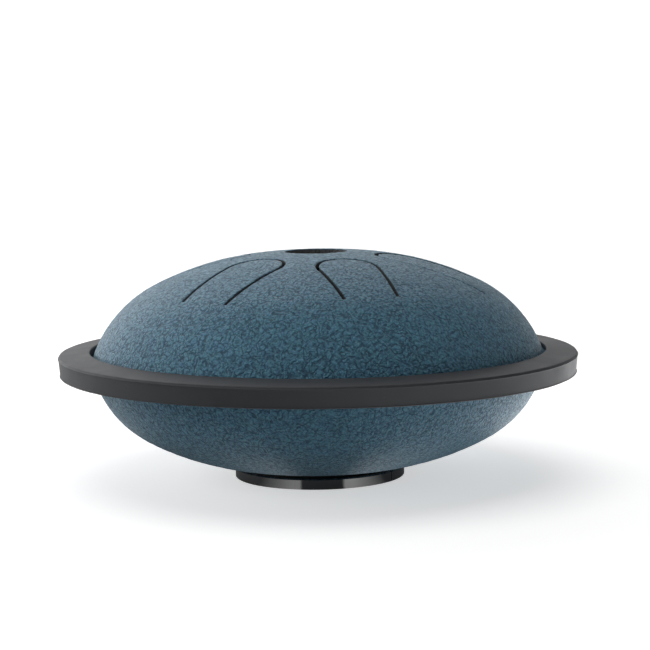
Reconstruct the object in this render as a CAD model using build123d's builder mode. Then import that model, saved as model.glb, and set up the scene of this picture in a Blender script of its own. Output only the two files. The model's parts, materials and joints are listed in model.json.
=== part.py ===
"""A 14 cm steel tongue drum: two pressed steel shells welded together at their flanges, six tongues
cut in the upper shell, a rubber ring round the flanges and a small foot ring under the bowl.

Frame: origin at the centre of the foot's underside, +Z up along the drum's axis, millimetres.
On the real drum a tongue is part of the upper shell's sheet and bends when it is struck. Here each
tongue is parted from the shell at its root by a hairline, and a sprung hinge stands in for the bend.
"""

from build123d import *
import os
from math import acos, asin, cos, degrees, radians, sin

# ---- Shells ----
SHEET = 1.5  # steel thickness
FLANGE_PLANE = 31.4  # height of the plane where the two flanges meet
FLANGE_RADIUS = 66.0
FLANGE_FILLET = 1.0  # outer fillet between a shell's wall and its flange
# A shell's outer meridian is three tangent arcs, named crown, haunch and shoulder from the axis
# outwards. "apex" is the shell's height over the flange plane, and each "edge" is the distance from
# the axis at which one arc hands over to the next.
DOME_ARCS = {
    "apex": 29.77, "crown": 157.7, "crown_edge": 17.0,
    "haunch": 79.9, "haunch_edge": 44.2, "shoulder": 33.5,
}
BOWL_ARCS = {
    "apex": 28.7, "crown": 245.0, "crown_edge": 19.7,
    "haunch": 67.6, "haunch_edge": 47.8, "shoulder": 27.0,
}
TOP_HOLE_RADIUS = 8.4
SOUND_HOLE_RADIUS = 14.0  # in the bottom of the bowl, inside the foot

# ---- Tongues ----
SLOT = 0.95  # width of the cut round a tongue
ROOT_GAP = 0.04  # the hairline at a tongue's root
TIP_RADIUS = 7.52
ROOT_HALF_WIDTH = 6.62
# Each tongue's direction in degrees from +X, then the distances from the drum's axis of its round
# tip's centre and of its root. Number 1 is the longest, so it sounds lowest.
TONGUES = {
    1: (109.0, 26.3, 50.2),
    2: (170.0, 26.3, 49.0),
    3: (47.6, 26.3, 47.9),
    4: (-13.4, 24.7, 46.9),
    5: (-128.6, 26.3, 45.9),
    6: (-71.8, 26.3, 43.6),
}
MAGNET_RADIUS = 3.0
MAGNET_HEIGHT = 1.5
MAGNET_CHAMFER = 0.15
MAGNET_GAP = 0.07  # a flat magnet only touches the curved underside at its edge

# ---- Rim ring ----
RIM_INNER_RADIUS = 61.45
RIM_RADIUS = 70.0  # at the moulding line, the widest place on the drum
RIM_WALL_RADIUS = 69.85  # beside the moulding line
RIM_TOP_RADIUS = 69.5
RIM_BOTTOM_RADIUS = 69.45
RIM_TOP_INNER = 35.35  # heights of the section's corners and of the moulding line
RIM_TOP_OUTER = 34.4
RIM_LINE = 33.3
RIM_BOTTOM_OUTER = 29.05
RIM_BOTTOM_INNER = 28.25
RIM_LINE_HEIGHT = 0.36
RIM_ROUNDING = 0.4
RIM_GROOVE_RADIUS = 67.0
RIM_LIP_CHAMFER = 0.4
WELD_RADIUS = 66.6
WELD_HALF_HEIGHT = 1.0

# ---- Foot ----
FOOT_RADIUS = 23.0
FOOT_INNER_RADIUS = 16.5
FOOT_HEIGHT = 2.9
FOOT_CHAMFER = 0.35
FOOT_ROUNDING = 0.25
FOOT_JOINT_GAP = 0.25  # where the two ends of the foot strip meet
FOOT_JOINT_DIRECTION = -34.0
BOND_INNER_RADIUS = 17.2
BOND_OUTER_RADIUS = 20.4
BOND_REACH = 1.3  # taller than the gap it fills, and cut back to the bowl

DOME_SECTION = Plane(origin=(0, 0, FLANGE_PLANE), x_dir=(1, 0, 0), z_dir=(0, -1, 0))
BOWL_SECTION = Plane(origin=(0, 0, FLANGE_PLANE), x_dir=(1, 0, 0), z_dir=(0, 1, 0))


def radial_plane(direction, height):
    """A level plane through the drum's axis, with its X axis along a direction in plan."""
    angle = radians(direction)
    return Plane(origin=(0, 0, height), x_dir=(cos(angle), sin(angle), 0), z_dir=(0, 0, 1))


# ---- The shells' meridians ----
def meridian(arcs):
    """Centre, radius and end angle of each outer arc, with angles in radians from the axis."""
    crown_end = asin(arcs["crown_edge"] / arcs["crown"])
    crown_centre_y = arcs["apex"] - arcs["crown"]

    step = arcs["crown"] - arcs["haunch"]
    haunch_centre = (step * sin(crown_end), crown_centre_y + step * cos(crown_end))
    haunch_end = asin((arcs["haunch_edge"] - haunch_centre[0]) / arcs["haunch"])

    step = arcs["haunch"] - arcs["shoulder"]
    shoulder_x = haunch_centre[0] + step * sin(haunch_end)
    shoulder_y = haunch_centre[1] + step * cos(haunch_end)

    fillet_y = SHEET + FLANGE_FILLET
    reach = arcs["shoulder"] + FLANGE_FILLET
    shoulder_end = acos((fillet_y - shoulder_y) / reach)
    return {
        "crown": ((0, crown_centre_y), arcs["crown"], crown_end),
        "haunch": (haunch_centre, arcs["haunch"], haunch_end),
        "shoulder": ((shoulder_x, shoulder_y), arcs["shoulder"], shoulder_end),
        "fillet": ((shoulder_x + reach * sin(shoulder_end), fillet_y), FLANGE_FILLET, shoulder_end),
    }


def skin_curve(arcs, depth):
    """One face of a shell in section, at a depth below its outer face, from axis to flange edge."""
    path = meridian(arcs)
    angle = 0.0
    for name in ("crown", "haunch", "shoulder"):
        centre, radius, end = path[name]
        CenterArc(centre, radius - depth, 90 - degrees(angle), degrees(angle - end))
        angle = end
    centre, radius, end = path["fillet"]
    fillet_arc = CenterArc(centre, radius + depth, 270 - degrees(end), degrees(end))
    return Line(fillet_arc @ 1, (FLANGE_RADIUS, SHEET - depth))


def shell_section(arcs):
    """The face that a shell is revolved from: a skin of even thickness with its flange."""
    with BuildSketch() as section:
        with BuildLine():
            outer = skin_curve(arcs, 0.0)
            inner = skin_curve(arcs, SHEET)
            Line(outer @ 1, inner @ 1)
            Line((0, arcs["apex"]), (0, arcs["apex"] - SHEET))
        make_face()
    return section.sketch


with BuildPart() as dome_blank:
    with BuildSketch(DOME_SECTION):
        add(shell_section(DOME_ARCS))
    revolve(axis=Axis.Z)

with BuildPart() as bowl_blank:
    with BuildSketch(BOWL_SECTION):
        add(shell_section(BOWL_ARCS))
    revolve(axis=Axis.Z)


# ---- Tongues and their windows ----
def tongue_outline(tip_centre, root, margin=0.0):
    """A tongue in plan: a round tip, slightly tapered sides and a straight root. The margin widens
    it on every side but the root."""
    taper = asin((TIP_RADIUS - ROOT_HALF_WIDTH) / (root - tip_centre))
    half_width = ROOT_HALF_WIDTH + margin / cos(taper)
    with BuildSketch() as outline:
        with BuildLine():
            tip = CenterArc(
                (tip_centre, 0), TIP_RADIUS + margin, 90 - degrees(taper), 180 + 2 * degrees(taper)
            )
            Polyline(tip @ 0, (root, half_width), (root, -half_width), tip @ 1)
        make_face()
    return outline.sketch


with BuildPart() as upper_shell:
    add(dome_blank.part)
    with BuildSketch(Plane.XY.offset(FLANGE_PLANE)):
        Circle(TOP_HOLE_RADIUS)
    extrude(amount=DOME_ARCS["apex"] + SHEET, mode=Mode.SUBTRACT)
    for direction, tip_centre, root in TONGUES.values():
        with BuildSketch(radial_plane(direction, FLANGE_PLANE)):
            add(tongue_outline(tip_centre, root, margin=SLOT))
        extrude(amount=DOME_ARCS["apex"] + SHEET, mode=Mode.SUBTRACT)

tongues = {}
for number, (direction, tip_centre, root) in TONGUES.items():
    with BuildPart() as tongue:
        with BuildSketch(radial_plane(direction, FLANGE_PLANE)):
            add(tongue_outline(tip_centre, root - ROOT_GAP))
        extrude(amount=DOME_ARCS["apex"] + SHEET)
        add(dome_blank.part, mode=Mode.INTERSECT)
    tongues[number] = tongue


# ---- A disc magnet under each tongue's tip ----
def magnet_seat(direction, tip_centre):
    """The plane of a magnet's upper face, just under the sheet, facing into the drum."""
    centre, radius, _ = meridian(DOME_ARCS)["haunch"]
    slope = asin((tip_centre - centre[0]) / radius)
    reach = radius - SHEET - MAGNET_GAP
    place = (centre[0] + reach * sin(slope), 0, centre[1] + reach * cos(slope))
    out = radial_plane(direction, FLANGE_PLANE)
    return Plane(
        origin=out.from_local_coords(place),
        x_dir=out.y_dir,
        z_dir=-out.x_dir * sin(slope) - out.z_dir * cos(slope),
    )


magnets = {}
for number, (direction, tip_centre, _) in TONGUES.items():
    with BuildPart() as magnet:
        with BuildSketch(magnet_seat(direction, tip_centre)):
            Circle(MAGNET_RADIUS)
        extrude(amount=MAGNET_HEIGHT)
        chamfer(magnet.edges().filter_by(GeomType.CIRCLE), length=MAGNET_CHAMFER)
    magnets[number] = magnet


# ---- Lower shell, weld and rubber ring ----
with BuildPart() as lower_shell:
    add(bowl_blank.part)
    with BuildSketch(Plane.XY):
        Circle(SOUND_HOLE_RADIUS)
    extrude(amount=FLANGE_PLANE, mode=Mode.SUBTRACT)

with BuildPart() as seam_weld:
    with BuildSketch(DOME_SECTION):
        with BuildLine():
            bead = ThreePointArc(
                (FLANGE_RADIUS, -WELD_HALF_HEIGHT),
                (WELD_RADIUS, 0),
                (FLANGE_RADIUS, WELD_HALF_HEIGHT),
            )
            Line(bead @ 1, bead @ 0)
        make_face()
    revolve(axis=Axis.Z)

with BuildPart() as rim_ring:
    with BuildSketch(Plane.XZ) as rim_section:
        with BuildLine():
            Polyline(
                (RIM_INNER_RADIUS, RIM_TOP_INNER),
                (RIM_TOP_RADIUS, RIM_TOP_OUTER),
                (RIM_WALL_RADIUS, RIM_LINE),
                (RIM_BOTTOM_RADIUS, RIM_BOTTOM_OUTER),
                (RIM_INNER_RADIUS, RIM_BOTTOM_INNER),
                close=True,
            )
        make_face()
        fillet(rim_section.vertices(), radius=RIM_ROUNDING)
        with BuildLine():
            Polyline(
                (RIM_TOP_RADIUS, RIM_LINE + RIM_LINE_HEIGHT / 2),
                (RIM_WALL_RADIUS, RIM_LINE + RIM_LINE_HEIGHT / 2),
                (RIM_RADIUS, RIM_LINE),
                (RIM_WALL_RADIUS, RIM_LINE - RIM_LINE_HEIGHT / 2),
                (RIM_TOP_RADIUS, RIM_LINE - RIM_LINE_HEIGHT / 2),
                close=True,
            )
        make_face()
        with BuildLine():
            Polyline(
                (RIM_INNER_RADIUS, FLANGE_PLANE + SHEET + RIM_LIP_CHAMFER),
                (RIM_INNER_RADIUS + RIM_LIP_CHAMFER, FLANGE_PLANE + SHEET),
                (RIM_GROOVE_RADIUS, FLANGE_PLANE + SHEET),
                (RIM_GROOVE_RADIUS, FLANGE_PLANE - SHEET),
                (RIM_INNER_RADIUS + RIM_LIP_CHAMFER, FLANGE_PLANE - SHEET),
                (RIM_INNER_RADIUS, FLANGE_PLANE - SHEET - RIM_LIP_CHAMFER),
                close=True,
            )
        make_face(mode=Mode.SUBTRACT)
    revolve(axis=Axis.Z)


# ---- Foot ----
with BuildPart() as foot_ring:
    with BuildSketch(Plane.XY):
        Circle(FOOT_RADIUS)
        Circle(FOOT_INNER_RADIUS, mode=Mode.SUBTRACT)
    extrude(amount=FOOT_HEIGHT)
    rims = foot_ring.edges().filter_by(GeomType.CIRCLE).group_by(Axis.Z)
    chamfer(rims[-1], length=FOOT_CHAMFER)
    fillet(rims[0], radius=FOOT_ROUNDING)
    with BuildSketch(radial_plane(FOOT_JOINT_DIRECTION, 0)):
        Rectangle(FOOT_RADIUS, FOOT_JOINT_GAP, align=(Align.MIN, Align.CENTER))
    extrude(amount=FOOT_HEIGHT, mode=Mode.SUBTRACT)

with BuildPart() as foot_adhesive:
    with BuildSketch(Plane.XY.offset(FOOT_HEIGHT)):
        Circle(BOND_OUTER_RADIUS)
        Circle(BOND_INNER_RADIUS, mode=Mode.SUBTRACT)
    extrude(amount=BOND_REACH)
    add(bowl_blank.part, mode=Mode.SUBTRACT)


# ---- One STEP file per piece ----
pieces = {
    "upper_shell": upper_shell,
    "lower_shell": lower_shell,
    "seam_weld": seam_weld,
    "rim_ring": rim_ring,
    "foot_ring": foot_ring,
    "foot_adhesive": foot_adhesive,
}
for number in TONGUES:
    pieces[f"tongue_{number}"] = tongues[number]
    pieces[f"tuning_magnet_{number}"] = magnets[number]

os.makedirs("parts", exist_ok=True)
for name, piece in pieces.items():
    piece.part.label = name
    export_step(piece.part, f"parts/{name}.step")
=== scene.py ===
"""Looks for the 14 cm steel tongue drum: wrinkle-painted skins on both shells and on the six tongues,
a moulded rubber ring, a glossy foot, soft studio light and the camera.

The mesh code works in millimetres and make_object() turns it into metres. The shells' curves and the
tongues' outlines are read off the CAD nodes, so the skins lie on the CAD solids.
"""

import json
import math

import bmesh
import bpy
import numpy as np
from mathutils import Matrix, Vector, kdtree, noise
from mathutils.geometry import delaunay_2d_cdt


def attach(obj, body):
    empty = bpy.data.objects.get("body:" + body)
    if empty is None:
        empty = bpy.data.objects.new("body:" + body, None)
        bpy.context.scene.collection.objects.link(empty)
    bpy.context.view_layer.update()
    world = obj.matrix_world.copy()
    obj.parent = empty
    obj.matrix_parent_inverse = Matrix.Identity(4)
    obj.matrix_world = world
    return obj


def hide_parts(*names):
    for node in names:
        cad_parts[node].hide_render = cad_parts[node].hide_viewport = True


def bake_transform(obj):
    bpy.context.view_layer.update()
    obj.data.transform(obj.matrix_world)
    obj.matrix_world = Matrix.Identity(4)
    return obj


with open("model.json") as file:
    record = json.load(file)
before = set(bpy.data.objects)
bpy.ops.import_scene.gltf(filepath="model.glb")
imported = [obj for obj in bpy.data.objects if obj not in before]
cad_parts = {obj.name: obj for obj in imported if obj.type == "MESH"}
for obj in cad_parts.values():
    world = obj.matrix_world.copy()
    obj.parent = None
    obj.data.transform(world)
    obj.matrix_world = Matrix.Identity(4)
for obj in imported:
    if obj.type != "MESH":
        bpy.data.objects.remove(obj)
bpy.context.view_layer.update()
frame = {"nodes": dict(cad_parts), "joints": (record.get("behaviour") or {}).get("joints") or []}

MM = 0.001
TONGUE_COUNT = 6

# ---- Sizes of the skins, in millimetres ----
SHEET = 1.5  # steel thickness, as in the CAD
SLOT = 0.95  # width of the cut round a tongue, as in the CAD
PAINTED_EDGE = 0.14  # the paint softens a cut edge by this much
DOME_SPACING = 0.42  # distance between neighbouring points of a painted face
BOWL_SPACING = 0.48
INNER_SPACING = 3.0  # the bare inner faces are plain
CUT_SPACING = 0.35  # distance between points along a cut
RIM_SPACING = 0.7  # and along a shell's outer edge
LATTICE_SHAKE = 0.12  # how far a point of the mesh is moved at random, as a share of the spacing
LATTICE_SEED = 14
CLEAR_FINE = 0.6  # how far painted points stay from a sheet's border, as a share of their spacing
CLEAR_COARSE = 0.5  # and the bare inner face's points
FLANGE_START = 61.7  # radius where the flange is flat
RELIEF_END = 61.3  # the relief fades out towards this radius, where the rubber ring covers the sheet
NORMAL_STEP = 0.3  # distance over which the painted surface's slope is taken
BEND_LENGTH = 14.0  # how far from its root a tongue bends
SUNK = {"tongue_4": 0.15}  # a tongue whose tip sits this much below the dome
PAINT, BARE, WALL = 0, 1, 2  # a sheet's material slots

# ---- The wrinkled paint's relief: rates per millimetre, and heights in millimetres ----
WARP_RATE, WARP_REACH = 0.35, 0.6
FOLD_RATE, FOLD_HEIGHT = 0.42, 0.05
WRINKLE_RATE, WRINKLE_DEPTH = 0.85, 0.10
GRAIN_RATE, GRAIN_HEIGHT = 1.25, 0.035


# ---- Curves and surfaces ----
def smooth_curve(x, y):
    """A smooth function through the points (x, y) that doesn't overshoot between them."""
    step = np.diff(x)
    chord = np.diff(y) / step
    before, after = chord[:-1], chord[1:]
    same_way = before * after > 0
    mean = np.where(same_way, before + after, 1.0)
    inside = np.where(same_way, 2 * before * after / mean, 0.0)
    slope = np.concatenate([chord[:1], inside, chord[-1:]])

    def curve(t):
        i = np.clip(np.searchsorted(x, t) - 1, 0, len(step) - 1)
        f = (t - x[i]) / step[i]
        g = 1 - f
        start = y[i] * (1 + 2 * f) * g * g + slope[i] * step[i] * f * g * g
        return start + y[i + 1] * (1 + 2 * g) * f * f - slope[i + 1] * step[i] * g * f * f

    return curve


class ShellFace:
    """The outer face of a CAD shell as a flat map. A point's distance from the map's centre is its
    distance along the face from the axis, and its direction is its direction in plan."""

    SAMPLE_STEP = 1.0
    SLOPE_STEP = 0.05
    FACING = 0.03  # least share of up or down in the normal of an outer face's polygon

    def __init__(self, node, side):
        """side is 1 for a shell that faces up and -1 for one that faces down."""
        self.side = side
        mesh = frame["nodes"][node].data
        outer = [p for p in mesh.polygons if p.normal.z * side > self.FACING]
        corners = {i for p in outer for i in p.vertices}
        points = np.array([mesh.vertices[i].co for i in corners]) / MM
        profile = np.column_stack([np.hypot(points[:, 0], points[:, 1]), points[:, 2]])
        profile = profile[np.argsort(profile[:, 0])]
        kept = [profile[0]]
        for point in profile[1:]:
            if np.hypot(*(point - kept[-1])) > self.SAMPLE_STEP:
                kept.append(point)
        kept[-1] = profile[-1]
        kept = np.array(kept)
        steps = np.hypot(*np.diff(kept, axis=0).T)
        lengths = kept[0, 0] + np.concatenate([[0], np.cumsum(steps)])
        self.hole_radius = kept[0, 0]
        self.edge_length = lengths[-1]
        self.radius = smooth_curve(lengths, kept[:, 0])
        self.height = smooth_curve(lengths, kept[:, 1])
        self._lengths = np.linspace(lengths[0], lengths[-1], 4000)
        self._radii = self.radius(self._lengths)
        self.flange_start = np.interp(FLANGE_START, self._radii, self._lengths)

    def to_map(self, plan):
        """Map points for points in plan."""
        radius = np.hypot(plan[:, 0], plan[:, 1])
        length = np.interp(radius, self._radii, self._lengths)
        return plan * (length / radius)[:, None]

    def place(self, flat, depth):
        """Points of the sheet for map points, at a depth below the outer face, and the normals."""
        length = np.hypot(flat[:, 0], flat[:, 1])
        direction = flat / length[:, None]
        run = self.radius(length + self.SLOPE_STEP) - self.radius(length - self.SLOPE_STEP)
        rise = self.height(length + self.SLOPE_STEP) - self.height(length - self.SLOPE_STEP)
        slant = np.hypot(run, rise)
        outward = -self.side * rise / slant
        upward = self.side * run / slant
        radius = self.radius(length) - outward * depth
        height = self.height(length) - upward * depth
        points = np.column_stack([direction * radius[:, None], height])
        return points, np.column_stack([direction * outward[:, None], upward])


def relief(points):
    """Height in millimetres of the wrinkled paint over the sheet, for points in millimetres."""
    heights = []
    for point in points:
        place = Vector(point)
        place = place + noise.noise_vector(place * WARP_RATE) * WARP_REACH
        fold = FOLD_HEIGHT * noise.noise(place * FOLD_RATE)
        wrinkle = WRINKLE_DEPTH * abs(noise.noise(place * WRINKLE_RATE))
        grain = GRAIN_HEIGHT * noise.noise(place * GRAIN_RATE)
        heights.append(fold - wrinkle + grain)
    return np.array(heights)


# ---- Meshes ----
def make_object(name, points, faces, materials, material_index=None, sharp_angle=50.0):
    """A mesh object from points in millimetres, with its faces turned outwards."""
    mesh = bpy.data.meshes.new(name)
    mesh.from_pydata((np.asarray(points) * MM).tolist(), [], faces)
    for material in materials:
        mesh.materials.append(material)
    if material_index is not None:
        mesh.polygons.foreach_set("material_index", material_index)
    work = bmesh.new()
    work.from_mesh(mesh)
    bmesh.ops.recalc_face_normals(work, faces=work.faces)
    work.to_mesh(mesh)
    work.free()
    mesh.shade_smooth()
    mesh.set_sharp_from_angle(angle=math.radians(sharp_angle))
    made = bpy.data.objects.new(name, mesh)
    bpy.context.scene.collection.objects.link(made)
    return made


def lattice(extent, spacing):
    """Points of a slightly shaken triangular lattice inside a circle."""
    row_step = spacing * math.sqrt(3) / 2
    across = np.arange(-extent, extent, spacing)
    rows = np.arange(-extent, extent, row_step)
    u, v = np.meshgrid(across, rows)
    u[1::2] += spacing / 2
    points = np.column_stack([u.ravel(), v.ravel()])
    random = np.random.default_rng(LATTICE_SEED)
    points += random.uniform(-LATTICE_SHAKE, LATTICE_SHAKE, points.shape) * spacing
    return points[np.hypot(points[:, 0], points[:, 1]) < extent]


def distances(points, others):
    """Each point's distance to the nearest of the others."""
    tree = kdtree.KDTree(len(others))
    for index, (x, y) in enumerate(others):
        tree.insert((x, y, 0), index)
    tree.balance()
    return np.array([tree.find((x, y, 0))[2] for x, y in points])


def inside(points, outlines):
    """True for the points that an odd number of the closed outlines hold."""
    x, y = points.T
    odd = np.zeros(len(points), bool)
    for outline in outlines:
        for (x1, y1), (x2, y2) in zip(outline, np.roll(outline, -1, axis=0)):
            crosses = (y1 > y) != (y2 > y)
            if crosses.any():
                odd ^= crosses & (x < x1 + (y - y1) * (x2 - x1) / (y2 - y1))
    return odd


def triangulate(points, loops):
    """Triangles over the points, without those in the windows and holes. Each loop is a list of
    point numbers that bounds the sheet."""
    edges = [(loop[i - 1], loop[i]) for loop in loops for i in range(len(loop))]
    made = delaunay_2d_cdt([Vector(p) for p in points], edges, [], 1, 1e-6)
    assert len(made[0]) == len(points), "two points of a sheet coincide"
    triangles = np.array(made[2])
    middles = points[triangles].mean(axis=1)
    return triangles[inside(middles, [points[loop] for loop in loops])].tolist()


class Cut:
    """A closed line on the map that bounds a sheet."""

    def __init__(self, points, is_edge, inset):
        self.points = points  # in order round the line
        self.is_edge = is_edge  # True where the sheet ends in a cut, False where it runs on
        self.inset = inset  # a second row of points, where the softened edge ends


def no_sink(flat):
    """The depths of a sheet that lies on the CAD's face all over."""
    return np.zeros(len(flat))


def make_sheet(name, face, cuts, spacing, materials, sink=no_sink):
    """A closed skin of even thickness. Its outer face carries the relief and is finely meshed as far
    as the flange. The materials are the paint, the bare inside and the cut walls. sink gives how far
    each map point lies below the CAD's face."""
    outlines = [cut.points for cut in cuts]
    border = np.vstack(outlines)
    edge = np.vstack([cut.points[cut.is_edge] for cut in cuts])
    inset = np.vstack([cut.inset for cut in cuts])
    inset = inset[distances(inset, border) > CLEAR_FINE * PAINTED_EDGE]
    rows = np.vstack([border, inset])
    loops = []
    for outline in outlines:
        start = sum(len(loop) for loop in loops)
        loops.append(list(range(start, start + len(outline))))

    fine = lattice(face.flange_start, spacing)
    fine = fine[inside(fine, outlines)]
    fine = fine[distances(fine, rows) > CLEAR_FINE * spacing]
    coarse = lattice(face.edge_length, INNER_SPACING)
    coarse = coarse[inside(coarse, outlines)]
    if len(coarse):
        coarse = coarse[distances(coarse, border) > CLEAR_COARSE * INNER_SPACING]

    outer_map = np.vstack([rows, fine])
    inner_map = np.vstack([border, coarse])
    outer_faces = triangulate(outer_map, loops)
    inner_faces = triangulate(inner_map, loops)

    softened = sink(outer_map)
    softened[: len(border)] += np.maximum(0, PAINTED_EDGE - distances(border, edge))
    outer, normals = face.place(outer_map, softened)
    fade = np.clip(RELIEF_END - np.hypot(outer[:, 0], outer[:, 1]), 0, 1)
    outer += normals * (relief(outer) * fade)[:, None]
    inner, _ = face.place(inner_map, sink(inner_map) + SHEET)

    shift = len(outer)
    walls = []
    for loop in loops:
        for i in range(len(loop)):
            a, b = loop[i - 1], loop[i]
            walls.append((a, b, b + shift, a + shift))
    faces = list(outer_faces) + walls + [[i + shift for i in f] for f in inner_faces]
    index = [PAINT] * len(outer_faces) + [WALL] * len(walls) + [BARE] * len(inner_faces)
    sheet = make_object(name, np.vstack([outer, inner]), faces, materials, index)
    join_normals(sheet.data, face, border, edge)
    return sheet


def join_normals(mesh, face, border, edge):
    """Gives the border points where the sheet runs on into another sheet the normals of the painted
    surface itself, so that the two sheets shade as one."""
    runs_on = np.flatnonzero(distances(border, edge) > PAINTED_EDGE / 2)
    flat = border[runs_on]
    radius = np.hypot(flat[:, 0], flat[:, 1])
    shown = radius < face.flange_start
    flat, runs_on = flat[shown], runs_on[shown]
    if not len(flat):
        return
    corners = []
    for du, dv in ((NORMAL_STEP, 0), (-NORMAL_STEP, 0), (0, NORMAL_STEP), (0, -NORMAL_STEP)):
        place, normal = face.place(flat + (du, dv), np.zeros(len(flat)))
        corners.append(place + normal * relief(place)[:, None])
    normals = np.cross(corners[0] - corners[1], corners[2] - corners[3]) * face.side
    normals /= np.linalg.norm(normals, axis=1)[:, None]
    wanted = dict(zip(runs_on.tolist(), normals))
    custom = [(0.0, 0.0, 0.0)] * len(mesh.loops)
    for polygon in mesh.polygons:
        if polygon.material_index == PAINT:
            for loop in polygon.loop_indices:
                vertex = mesh.loops[loop].vertex_index
                if vertex in wanted:
                    custom[loop] = tuple(wanted[vertex])
    mesh.normals_split_custom_set(custom)


def circle(radius, spacing):
    """Points round a circle, about a spacing apart."""
    count = int(2 * math.pi * radius / spacing)
    angle = np.arange(count) * 2 * math.pi / count
    return radius * np.column_stack([np.cos(angle), np.sin(angle)])


def hole_cut(face):
    """The cut round the hole in the middle of a shell."""
    points = circle(face.hole_radius, CUT_SPACING)
    inset = circle(face.hole_radius + PAINTED_EDGE, CUT_SPACING)
    return Cut(points, np.ones(len(points), bool), inset)


def flange_cut(face):
    """The outer edge of a shell's flange, hidden in the rubber ring, with a row of points where the
    flange starts."""
    points = circle(face.edge_length, RIM_SPACING)
    return Cut(points, np.zeros(len(points), bool), circle(face.flange_start, RIM_SPACING))


# ---- Tongues ----
class Tongue:
    """A tongue's shape in plan, read off its joint and its CAD solid. Its own axes run along it,
    outwards from the drum's axis, and across it."""

    END_BAND = 0.1  # the CAD tongue's end face lies within this distance of the hinge

    def __init__(self, number):
        self.name = f"tongue_{number}"
        joint = next(j for j in frame["joints"] if j["child"] == self.name)
        self.hinge = Vector(joint["pos_m"])
        self.root = math.hypot(self.hinge.x, self.hinge.y) / MM
        self.along = np.array(self.hinge.xy.normalized())
        self.across = np.array([-self.along[1], self.along[0]])
        vertices = frame["nodes"][self.name].data.vertices
        plan = np.array([vertex.co[:2] for vertex in vertices]) / MM
        out, side = plan @ self.along, plan @ self.across
        self.tip_radius = side.max()
        self.tip_centre = out.min() + self.tip_radius
        self.root_half = side[out > self.root - self.END_BAND].max()

    def in_plan(self, points):
        """Points in plan for rows of (along, across)."""
        points = np.asarray(points, float)
        return points[:, :1] * self.along + points[:, 1:] * self.across

    def outline(self, margin, end):
        """Rows of (along, across) from the root in along one side, round the tip and back out. They
        lie a margin outside the tongue, and the sides reach out to end."""
        taper = math.asin((self.tip_radius - self.root_half) / (self.root - self.tip_centre))
        radius = self.tip_radius + margin
        turn = math.pi + 2 * taper
        angle = math.pi / 2 - taper + np.linspace(0, turn, int(turn * radius / CUT_SPACING))
        tip = np.column_stack([self.tip_centre + radius * np.cos(angle), radius * np.sin(angle)])
        length = end - tip[0, 0]
        reach = length * np.linspace(1, 0, int(length / CUT_SPACING), endpoint=False)
        side = np.column_stack([tip[0, 0] + reach, tip[0, 1] - reach * math.tan(taper)])
        return np.vstack([side, tip, side[::-1] * (1, -1)])

    def root_line(self):
        """Rows of (along, across) over the root, short of its two corners."""
        half = self.root_half - PAINTED_EDGE
        across = np.linspace(-half, half, int(2 * half / CUT_SPACING))
        return np.column_stack([np.full(len(across), self.root), across])

    def cut(self, face):
        """The tongue's own border."""
        line, sides = self.root_line(), self.outline(0, self.root)
        is_edge = np.arange(len(line) + len(sides)) >= len(line)
        inset = self.outline(-PAINTED_EDGE, self.root - PAINTED_EDGE)
        points = self.in_plan(np.vstack([line, sides]))
        return Cut(face.to_map(points), is_edge, face.to_map(self.in_plan(inset)))

    def sink(self, face):
        """How far the tongue's points lie below the dome: nothing at the root, and the tongue's
        full depth from the end of its bend to its tip."""
        root_map = face.to_map(self.in_plan([(self.root, 0)]))[0] @ self.along
        depth = SUNK.get(self.name, 0.0)

        def sink(flat):
            share = np.clip((root_map - flat @ self.along) / BEND_LENGTH, 0, 1)
            return depth * share * share * (3 - 2 * share)

        return sink

    def window(self, face):
        """The border of the shell round the tongue: the slot's outer wall, its two square ends, and
        the root, where the sheet runs on into the tongue."""
        line, corner = self.root_line(), self.outline(0, self.root)[:1]
        wall = self.outline(SLOT, self.root)
        slot_end = (corner + wall[:1]) / 2
        mirror = np.array([1, -1])
        sides = np.vstack([corner, slot_end, wall, slot_end * mirror, corner * mirror])
        is_edge = np.arange(len(line) + len(sides)) >= len(line)
        inset = self.outline(SLOT + PAINTED_EDGE, self.root + PAINTED_EDGE)
        beyond = slot_end + (PAINTED_EDGE, 0)
        inset = np.vstack([beyond, inset, beyond * mirror])
        points = self.in_plan(np.vstack([line, sides]))
        return Cut(face.to_map(points), is_edge, face.to_map(self.in_plan(inset)))


# ---- Materials ----
def new_material(name):
    """A material with nodes. Returns it and its Principled shader."""
    material = bpy.data.materials.new(name)
    material.use_nodes = True
    return material, material.node_tree.nodes["Principled BSDF"]


def feed(shader, socket, value):
    """Gives a node's input a number or a colour, or links another node's output to it."""
    if isinstance(value, bpy.types.NodeSocket):
        shader.id_data.links.new(value, socket)
    else:
        socket.default_value = value


def add_node(shader, kind, settings=None, **inputs):
    """A node in the shader's tree. An underscore in an input's name stands for a space."""
    node = shader.id_data.nodes.new(kind)
    for key, value in (settings or {}).items():
        setattr(node, key, value)
    for key, value in inputs.items():
        feed(shader, node.inputs[key.replace("_", " ")], value)
    return node


def maths(shader, operation, first, second=0.0):
    node = add_node(shader, "ShaderNodeMath", {"operation": operation})
    feed(shader, node.inputs[0], first)
    feed(shader, node.inputs[1], second)
    return node.outputs[0]


def ramp(shader, value, low, high, start=0.0, end=1.0):
    """The value taken from the range low to high to the range start to end."""
    node = add_node(
        shader, "ShaderNodeMapRange",
        Value=value, From_Min=low, From_Max=high, To_Min=start, To_Max=end,
    )
    return node.outputs["Result"]


def blend_colours(shader, share, first, second):
    node = add_node(shader, "ShaderNodeMix", {"data_type": "RGBA"}, Factor=share)
    sockets = [s for s in node.inputs if s.type == "RGBA"]
    for socket, value in zip(sockets, (first, second)):
        feed(shader, socket, (*value, 1) if isinstance(value, tuple) else value)
    return next(s for s in node.outputs if s.type == "RGBA")


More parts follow.
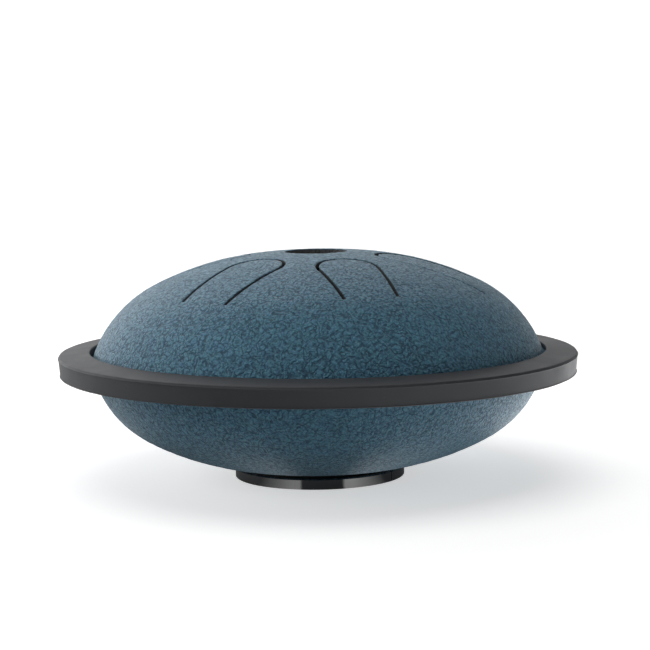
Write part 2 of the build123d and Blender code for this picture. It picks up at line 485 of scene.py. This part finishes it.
def blend_values(shader, share, first, second):
    return add_node(shader, "ShaderNodeMix", Factor=share, A=first, B=second).outputs["Result"]


def millimetres(shader):
    """The surface point in the drum's own frame, in millimetres."""
    place = add_node(shader, "ShaderNodeTexCoord").outputs["Object"]
    scaled = add_node(
        shader, "ShaderNodeVectorMath", {"operation": "SCALE"}, Vector=place, Scale=1 / MM
    )
    return scaled.outputs[0]


def shake(shader, place, scale, amount):
    """The point moved about by soft noise, so that a pattern on it loses its regularity."""
    cloud = add_node(shader, "ShaderNodeTexNoise", Vector=place, Scale=scale, Detail=2.0)
    middle = add_node(
        shader, "ShaderNodeVectorMath", {"operation": "SUBTRACT"}, Vector=cloud.outputs["Color"]
    )
    middle.inputs[1].default_value = (0.5, 0.5, 0.5)
    grown = add_node(
        shader, "ShaderNodeVectorMath", {"operation": "SCALE"}, Vector=middle.outputs[0], Scale=amount
    )
    moved = add_node(shader, "ShaderNodeVectorMath", {"operation": "ADD"}, Vector=place)
    shader.id_data.links.new(grown.outputs[0], moved.inputs[1])
    return moved.outputs[0]


def noise_value(shader, place, scale, detail=2.0, roughness=0.5):
    node = add_node(
        shader, "ShaderNodeTexNoise",
        Vector=place, Scale=scale, Detail=detail, Roughness=roughness,
    )
    return node.outputs["Fac"]


def set_bump(shader, height, strength=1.0):
    """Bumps from a height in millimetres."""
    bump = add_node(
        shader, "ShaderNodeBump", Height=height, Strength=strength, Distance=MM
    )
    shader.id_data.links.new(bump.outputs["Normal"], shader.inputs["Normal"])


# Heights of the paint's bumps in millimetres, and how dense each kind is, per millimetre.
LUMP_BUMP, LUMP_SCALE = 0.22, 1.5
CREASE_BUMP, CREASE_SCALE = 0.12, 0.55
GRAIN_BUMP, GRAIN_SCALE = 0.26, 3.2
PATCH_SCALE = 0.42
LIT_HEIGHTS = (0.20, 0.44)  # heights over which the colour runs from painted shade in the creases to a painted highlight on the lumps
# Painted highlight colours for the lumps' tops and painted shade colours for the creases.
LUMP_HIGHLIGHT_GREEN, LUMP_HIGHLIGHT_BLUE = (0.080, 0.272, 0.368), (0.084, 0.262, 0.415)
CREASE_SHADE_GREEN, CREASE_SHADE_BLUE = (0.012, 0.078, 0.118), (0.014, 0.074, 0.142)


def wrinkle_paint():
    """Blue-green powder coat with a leather grain: lumps under a millimetre wide, narrow creases
    between groups of them, and patches that lean to green or to blue. The creases carry painted
    shade and the lumps a painted highlight, both taken from the relief's height."""
    material, shader = new_material("wrinkle_paint")
    place = millimetres(shader)
    loose = shake(shader, shake(shader, place, 0.3, 2.4), 1.4, 0.8)
    lump = add_node(
        shader, "ShaderNodeTexVoronoi", {"feature": "SMOOTH_F1"},
        Vector=loose, Scale=LUMP_SCALE, Smoothness=0.5,
    ).outputs["Distance"]
    crease = add_node(
        shader, "ShaderNodeTexVoronoi", {"feature": "DISTANCE_TO_EDGE"},
        Vector=loose, Scale=CREASE_SCALE,
    ).outputs["Distance"]
    top = ramp(shader, lump, 0.15, 0.75, 1.0, 0.0)
    fold = ramp(shader, crease, 0.0, 0.14, 0.0, 1.0)
    grain = noise_value(shader, place, GRAIN_SCALE, 3.0, 0.6)
    height = maths(shader, "MULTIPLY", top, LUMP_BUMP)
    height = maths(shader, "ADD", height, maths(shader, "MULTIPLY", fold, CREASE_BUMP))
    height = maths(shader, "ADD", height, maths(shader, "MULTIPLY", grain, GRAIN_BUMP))
    set_bump(shader, height)

    patch = ramp(shader, noise_value(shader, place, PATCH_SCALE, 2.0, 0.6), 0.25, 0.75)
    # Painted shade and highlight: the colour darkens into the creases and lightens on the lumps with
    # the relief's height.
    light = blend_colours(shader, patch, LUMP_HIGHLIGHT_GREEN, LUMP_HIGHLIGHT_BLUE)
    crease_shade = blend_colours(shader, patch, CREASE_SHADE_GREEN, CREASE_SHADE_BLUE)
    lit = ramp(shader, height, *LIT_HEIGHTS)
    colour = blend_colours(shader, lit, crease_shade, light)
    shader.id_data.links.new(colour, shader.inputs["Base Color"])
    rough = ramp(shader, lit, 0.0, 1.0, 0.60, 0.36)
    shader.id_data.links.new(rough, shader.inputs["Roughness"])
    shader.inputs["Specular IOR Level"].default_value = 0.40
    shader.inputs["Sheen Weight"].default_value = 0.15
    shader.inputs["Sheen Roughness"].default_value = 0.5
    return material


def bare_inside():
    """The unpainted inner face: dark oiled steel with a mist of paint."""
    material, shader = new_material("shell_inside")
    place = millimetres(shader)
    mist = noise_value(shader, place, 1.4, 4.0, 0.7)
    colour = blend_colours(
        shader, ramp(shader, mist, 0.4, 0.65), (0.020, 0.020, 0.021), (0.010, 0.018, 0.023)
    )
    shader.id_data.links.new(colour, shader.inputs["Base Color"])
    shader.inputs["Specular IOR Level"].default_value = 0.15
    rough = ramp(shader, mist, 0.3, 0.7, 0.7, 0.9)
    shader.id_data.links.new(rough, shader.inputs["Roughness"])
    set_bump(shader, maths(shader, "MULTIPLY", noise_value(shader, place, 3.0), 0.02))
    return material


def cut_wall():
    """The sawn wall of a slot or of the sound hole: blackened steel that takes little light."""
    material, shader = new_material("cut_wall")
    place = millimetres(shader)
    streaks = noise_value(shader, place, 2.6, 3.0, 0.6)
    colour = blend_colours(
        shader, ramp(shader, streaks, 0.35, 0.65), (0.040, 0.042, 0.045), (0.120, 0.120, 0.122)
    )
    shader.id_data.links.new(colour, shader.inputs["Base Color"])
    shader.inputs["Specular IOR Level"].default_value = 0.15
    shader.inputs["Roughness"].default_value = 0.85
    set_bump(shader, maths(shader, "MULTIPLY", streaks, 0.05))
    return material


def moulded_rubber():
    """Matte black-grey rubber with a fine mould grain, dust and faint scuffs."""
    material, shader = new_material("moulded_rubber")
    place = millimetres(shader)
    grain = noise_value(shader, place, 7.0, 2.0, 0.6)
    cloud = noise_value(shader, place, 0.09, 4.0, 0.65)
    specks = ramp(shader, noise_value(shader, place, 2.2, 3.0, 0.7), 0.70, 0.78)
    colour = blend_colours(
        shader, ramp(shader, cloud, 0.3, 0.7), (0.021, 0.024, 0.029), (0.031, 0.034, 0.039)
    )
    colour = blend_colours(shader, maths(shader, "MULTIPLY", specks, 0.35), colour, (0.2, 0.2, 0.2))
    shader.id_data.links.new(colour, shader.inputs["Base Color"])
    rough = ramp(shader, cloud, 0.3, 0.7, 0.55, 0.66)
    shader.id_data.links.new(rough, shader.inputs["Roughness"])
    set_bump(shader, maths(shader, "MULTIPLY", grain, 0.012))
    return material


def gloss_black():
    """The foot's glossy black plastic, a little uneven, with fine rub marks."""
    material, shader = new_material("gloss_black")
    place = millimetres(shader)
    wave = noise_value(shader, place, 0.22, 1.0)
    rubs = noise_value(shader, place, 1.5, 5.0, 0.7)
    shader.inputs["Base Color"].default_value = (0.010, 0.010, 0.012, 1)
    shader.inputs["IOR"].default_value = 2.4
    rough = ramp(shader, rubs, 0.4, 0.75, 0.05, 0.18)
    shader.id_data.links.new(rough, shader.inputs["Roughness"])
    set_bump(shader, maths(shader, "MULTIPLY", wave, 0.10))
    return material


def plain_surface(name, colour, metallic, roughness, grain):
    """A hidden piece's finish: one colour broken up by noise, with a light grain."""
    material, shader = new_material(name)
    place = millimetres(shader)
    cloud = noise_value(shader, place, 1.2, 4.0, 0.65)
    darker = tuple(channel * 0.6 for channel in colour)
    mixed = blend_colours(shader, ramp(shader, cloud, 0.35, 0.65), darker, colour)
    shader.id_data.links.new(mixed, shader.inputs["Base Color"])
    shader.inputs["Metallic"].default_value = metallic
    rough = ramp(shader, cloud, 0.3, 0.7, roughness * 0.8, roughness * 1.2)
    shader.id_data.links.new(rough, shader.inputs["Roughness"])
    set_bump(shader, maths(shader, "MULTIPLY", noise_value(shader, place, 4.0), grain))
    return material


# ---- The drum ----
def build_shells(materials):
    """The dome with its windows, the six tongues in them, and the bowl."""
    dome = ShellFace("upper_shell", 1)
    bowl = ShellFace("lower_shell", -1)
    tongues = [Tongue(number) for number in range(1, TONGUE_COUNT + 1)]

    windows = [tongue.window(dome) for tongue in tongues]
    cuts = [flange_cut(dome), hole_cut(dome)] + windows
    skin = make_sheet("dome_skin", dome, cuts, DOME_SPACING, materials)
    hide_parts("upper_shell")
    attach(skin, "drum")

    cuts = [flange_cut(bowl), hole_cut(bowl)]
    skin = make_sheet("bowl_skin", bowl, cuts, BOWL_SPACING, materials)
    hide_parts("lower_shell")
    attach(skin, "drum")

    for tongue in tongues:
        name = f"{tongue.name}_skin"
        cuts = [tongue.cut(dome)]
        skin = make_sheet(name, dome, cuts, DOME_SPACING, materials, tongue.sink(dome))
        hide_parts(tongue.name)
        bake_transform(skin)


# ---- Rubber ring ----
RING_SEGMENTS = 480
RING_STEP = 0.9
RING_DROP = 0.39  # the soft ring is seated this much low
RING_TILT = 0.48  # and this much lower still at its right, and higher at its left
GROOVE_RADIUS = 67.1  # the groove that grips the flanges lies within this radius
GROOVE_HEIGHTS = (29.3, 33.5)  # and between these heights
CORNER_STEPS = 6  # points on a rounded corner
UNEVEN_RATE, UNEVEN_HEIGHT = 0.12, 0.05  # the soft swells of the moulded surface
UNEVEN_OUT = 0.3  # their share in the ring's radius
UNEVEN_START = 62.0  # the lips that touch the shells are even
UNEVEN_OUT_START = 61.5
SHARP = 0.04  # the rounding of a moulded ridge

# Corners of the ring's section: distance from the axis, height, rounding.
RING_SECTION = [
    (61.45, 35.35, 0.45),
    (69.66, 34.42, 0.20),
    (69.85, 33.98, SHARP),  # moulding line
    (70.00, 33.82, SHARP),
    (69.85, 33.66, SHARP),
    (69.46, 29.32, SHARP),  # flash along the lower edge
    (69.57, 29.20, SHARP),
    (69.45, 29.05, 0.30),
    (61.45, 28.25, 0.45),
    (61.45, 29.50, 0.10),  # groove for the flanges
    (61.85, 29.90, 0.10),
    (67.00, 29.90, 0.20),
    (67.00, 32.90, 0.20),
    (61.85, 32.90, 0.10),
    (61.45, 33.30, 0.10),
]


def rounded_line(corners, step):
    """A closed line through the corners, each rounded by its own distance, in short steps."""
    points = []
    places = np.array([corner[:2] for corner in corners])
    for i, (x, y, rounding) in enumerate(corners):
        here = np.array([x, y])
        before = places[i - 1] - here
        after = places[(i + 1) % len(places)] - here
        start = here + before / np.hypot(*before) * rounding
        end = here + after / np.hypot(*after) * rounding
        if points:
            gap = start - points[-1]
            count = int(np.hypot(*gap) / step)
            points += [points[-1] + gap * k / (count + 1) for k in range(1, count + 1)]
        for share in np.linspace(0, 1, CORNER_STEPS):
            points.append(
                start * (1 - share) ** 2 + here * 2 * share * (1 - share) + end * share**2
            )
    return np.array(points)


def ring_drop(radius, height, across):
    """How far a point of the ring's section has sunk. The groove stays on the flanges, and the soft
    rubber round it has settled. across runs from -1 at the ring's left to 1 at its right."""
    low, high = GROOVE_HEIGHTS
    if radius < GROOVE_RADIUS and low < height < high:
        return 0.0
    return RING_DROP + RING_TILT * across


def build_ring(rubber):
    """The moulded rubber ring, with a surface that is a little uneven."""
    section = rounded_line(RING_SECTION, RING_STEP)
    angles = np.arange(RING_SEGMENTS) * 2 * math.pi / RING_SEGMENTS
    points = []
    for angle in angles:
        c, s = math.cos(angle), math.sin(angle)
        for radius, height in section:
            place = Vector((radius * c, radius * s, height))
            swell = noise.noise(place * UNEVEN_RATE) * UNEVEN_HEIGHT
            drop = ring_drop(radius, height, c)
            outer = radius + swell * (radius > UNEVEN_OUT_START) * UNEVEN_OUT
            height += swell * (outer > UNEVEN_START)
            points.append((outer * c, outer * s, height - drop))
    n = len(section)
    faces = []
    for i in range(RING_SEGMENTS):
        j = (i + 1) % RING_SEGMENTS
        for k in range(n):
            up = (k + 1) % n
            faces.append((i * n + k, i * n + up, j * n + up, j * n + k))
    ring = make_object("rim_ring_skin", points, faces, [rubber], sharp_angle=60)
    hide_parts("rim_ring")
    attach(ring, "drum")


def dress_cad_nodes():
    """Finishes for the CAD nodes that stay as they are."""
    finishes = {
        "foot_ring": gloss_black(),
        "foot_adhesive": plain_surface("adhesive_foam", (0.03, 0.03, 0.03), 0.0, 0.8, 0.03),
        "seam_weld": plain_surface("weld_bead", (0.30, 0.30, 0.31), 0.9, 0.45, 0.08),
    }
    plating = plain_surface("magnet_plating", (0.62, 0.62, 0.63), 1.0, 0.22, 0.004)
    for number in range(1, TONGUE_COUNT + 1):
        finishes[f"tuning_magnet_{number}"] = plating
    for node, material in finishes.items():
        slots = frame["nodes"][node].data.materials
        slots.clear()
        slots.append(material)


# ---- Stage, light and camera ----
# Lengths are in metres from here on.
CAMERA_DISTANCE = 0.5436
CAMERA_ELEVATION = 7.32  # in degrees, as is the roll
CAMERA_ROLL = 1.0
CAMERA_LENS = 111.05
CAMERA_SHIFT = (0.0109, 0.0426)
AIM_HEIGHT = 0.0333  # the camera aims at the drum's axis, at the ring's height
FLOOR_CLEAR = 0.25  # the floor starts to melt away at this distance
FLOOR_END = 1.1
FLOOR_SIDES = 128
FLOOR_GLOW = 0.55  # the floor's own light to the camera
FLOOR_TONE_SEEN = 0.80  # the floor's colour to the camera
FLOOR_TONE = 0.25  # and to everything else
FOOT_FOCUS = 0.0115  # half the foot's radius, where a round mirror's focus lies
# Ramps of the floor's light: a start and an end, then the strengths there.
FLOOR_SIDE = (-0.06, 0.06, 0.06, 0.80)  # over X
FLOOR_BEHIND = (-0.04, 0.0, 0.0, 1.4)  # over Y
BEHIND_SIDE = (-0.06, 0.06, 0.5, 1.0)  # over X
PATCH_SIDE = (-0.03, 0.03, 0.6, 1.1)  # over X
DIFFUSE_SIDE = 0.48  # the share of the floor's side light that lights matte surfaces
MIRRORED_SIDE = 1.9  # and the share that shiny ones see
NEAR_FOOT = (0.052, 0.064)  # how far from the axis the floor that the foot mirrors reaches
FOOT_FLOOR = 0.05  # its light
PATCH_TURN = 3.0  # the middle of the dark sector, in degrees right of straight ahead
PATCH_START = (26.0, 30.0)  # degrees from that middle, where a bright patch fades in
PATCH_END = (40.0, 80.0)  # and where it fades out
FRONT_SKY = 0.05  # the surround's strength as light
BACK_SKY = 1.15  # and straight behind the drum
BACK_SKY_Y = (0.75, 0.98)  # it brightens between these values of a direction's Y
DRUM_MIDDLE = (0, 0, 0.035)
# Soft boxes: name, place, target, width and height, power in watts.
SOFT_BOXES = [
    ("top_box", (-0.05, -0.05, 1.0), DRUM_MIDDLE, (1.0, 1.0), 5.0),
    ("back_box", (-0.20, 0.75, 0.60), DRUM_MIDDLE, (0.9, 0.4), 1.7),
    ("left_back_box", (-0.68, 0.42, 0.26), DRUM_MIDDLE, (1.2, 0.5), 3.8),
    ("left_front_box", (-0.45, -0.38, 0.33), DRUM_MIDDLE, (0.35, 0.20), 0.5),
    ("left_low_box", (-0.60, -0.20, 0.07), DRUM_MIDDLE, (0.50, 0.12), 0.6),
    ("right_low_box", (0.34, 0.02, 0.03), (0, 0, 0.020), (0.25, 0.06), 0.04),
]


def floor_light(shader, glossy):
    """The light that comes up from the floor, more on the right. Shiny surfaces see it stronger
    behind the drum. Round the foot they see a dim floor, with a bright patch on either side of a
    dark sector in front."""
    place = add_node(shader, "ShaderNodeTexCoord").outputs["Object"]
    reach = add_node(shader, "ShaderNodeVectorMath", {"operation": "LENGTH"}, Vector=place)
    place = add_node(shader, "ShaderNodeSeparateXYZ", Vector=place)
    x, y = place.outputs["X"], place.outputs["Y"]
    side = ramp(shader, x, *FLOOR_SIDE)

    behind = maths(shader, "MULTIPLY", ramp(shader, y, *FLOOR_BEHIND), ramp(shader, x, *BEHIND_SIDE))
    mirrored = maths(shader, "ADD", maths(shader, "MULTIPLY", side, MIRRORED_SIDE), behind)

    ahead = maths(shader, "SUBTRACT", -FOOT_FOCUS, y)
    turn = maths(shader, "SUBTRACT", maths(shader, "ARCTAN2", x, ahead), math.radians(PATCH_TURN))
    turn = maths(shader, "ABSOLUTE", turn)
    starting = ramp(shader, turn, *(math.radians(angle) for angle in PATCH_START))
    ending = ramp(shader, turn, *(math.radians(angle) for angle in PATCH_END), 1.0, 0.0)
    patch = maths(shader, "MULTIPLY", maths(shader, "MULTIPLY", starting, ending),
                  ramp(shader, x, *PATCH_SIDE))
    near = ramp(shader, reach.outputs["Value"], *NEAR_FOOT, 1.0, 0.0)
    mirrored = blend_values(shader, near, mirrored, maths(shader, "ADD", patch, FOOT_FLOOR))
    return blend_values(shader, glossy, maths(shader, "MULTIPLY", side, DIFFUSE_SIDE), mirrored)


def build_stage():
    """A pale round floor that melts into the white surround. It can't be seen from below. To the
    camera it is evenly white."""
    material, shader = new_material("pale_floor")
    shader.inputs["Roughness"].default_value = 0.9
    shader.inputs["Specular IOR Level"].default_value = 0.1
    shader.inputs["Emission Color"].default_value = (1, 1, 1, 1)
    tree = shader.id_data
    path = add_node(shader, "ShaderNodeLightPath")
    seen = path.outputs["Is Camera Ray"]
    tone = blend_colours(shader, seen, (FLOOR_TONE,) * 3, (FLOOR_TONE_SEEN,) * 3)
    tree.links.new(tone, shader.inputs["Base Color"])
    upward = floor_light(shader, path.outputs["Is Glossy Ray"])
    glow = blend_values(shader, seen, upward, FLOOR_GLOW)
    tree.links.new(glow, shader.inputs["Emission Strength"])
    place = add_node(shader, "ShaderNodeTexCoord").outputs["Object"]
    reach = add_node(shader, "ShaderNodeVectorMath", {"operation": "LENGTH"}, Vector=place)
    melt = add_node(
        shader, "ShaderNodeMapRange", {"interpolation_type": "SMOOTHSTEP"},
        Value=reach.outputs["Value"], From_Min=FLOOR_CLEAR, From_Max=FLOOR_END,
    ).outputs["Result"]
    below = add_node(shader, "ShaderNodeNewGeometry").outputs["Backfacing"]
    gone = maths(shader, "MAXIMUM", melt, below)
    mix = add_node(shader, "ShaderNodeMixShader")
    tree.links.new(gone, mix.inputs[0])
    tree.links.new(shader.outputs[0], mix.inputs[1])
    tree.links.new(add_node(shader, "ShaderNodeBsdfTransparent").outputs[0], mix.inputs[2])
    tree.links.new(mix.outputs[0], tree.nodes["Material Output"].inputs["Surface"])

    mesh = bpy.data.meshes.new("floor")
    work = bmesh.new()
    bmesh.ops.create_circle(work, cap_ends=True, radius=FLOOR_END, segments=FLOOR_SIDES)
    work.to_mesh(mesh)
    work.free()
    mesh.materials.append(material)
    floor = bpy.data.objects.new("floor", mesh)
    bpy.context.scene.collection.objects.link(floor)


def soft_box(name, place, target, size, power):
    """An area light at a place, turned to a target. The camera doesn't see it."""
    light = bpy.data.lights.new(name, "AREA")
    light.shape = "RECTANGLE"
    light.size, light.size_y = size
    light.energy = power
    lamp = bpy.data.objects.new(name, light)
    lamp.location = place
    lamp.rotation_euler = (Vector(target) - Vector(place)).to_track_quat("-Z", "Y").to_euler()
    lamp.visible_camera = False
    bpy.context.scene.collection.objects.link(lamp)


def build_surround():
    """White for the camera. As light it is dim, and brighter straight behind the drum."""
    world = bpy.data.worlds.new("studio")
    bpy.context.scene.world = world
    world.use_nodes = True
    tree = world.node_tree
    background = tree.nodes["Background"]
    background.inputs["Color"].default_value = (1, 1, 1, 1)
    direction = add_node(background, "ShaderNodeTexCoord").outputs["Generated"]
    direction = add_node(background, "ShaderNodeSeparateXYZ", Vector=direction)
    bright = ramp(background, direction.outputs["Y"], *BACK_SKY_Y, FRONT_SKY, BACK_SKY)
    seen = add_node(background, "ShaderNodeLightPath").outputs["Is Camera Ray"]
    strength = maths(background, "MAXIMUM", bright, seen)
    tree.links.new(strength, background.inputs["Strength"])


def build_light():
    """Soft boxes: a large one overhead, two behind for the sheen on the dome's back and left, two at
    the left front, and a low one on the right for the bowl."""
    for name, place, target, size, power in SOFT_BOXES:
        soft_box(name, place, target, size, power)


def build_camera():
    """The photograph's view: low, from the front, aimed at the ring."""
    camera = bpy.data.objects.new("camera", bpy.data.cameras.new("camera"))
    camera.data.lens = CAMERA_LENS
    camera.data.shift_x, camera.data.shift_y = CAMERA_SHIFT
    tilt = math.radians(CAMERA_ELEVATION)
    back = Vector((0, -math.cos(tilt), math.sin(tilt)))
    camera.location = Vector((0, 0, AIM_HEIGHT)) + back * CAMERA_DISTANCE
    facing = (-back).to_track_quat("-Z", "Y").to_matrix()
    roll = Matrix.Rotation(math.radians(-CAMERA_ROLL), 3, "Z")
    camera.rotation_euler = (facing @ roll).to_euler()
    bpy.context.scene.collection.objects.link(camera)
    bpy.context.scene.camera = camera


build_shells([wrinkle_paint(), bare_inside(), cut_wall()])
build_ring(moulded_rubber())
dress_cad_nodes()
build_stage()
build_surround()
build_light()
build_camera()
bpy.context.scene.view_settings.view_transform = "Standard"
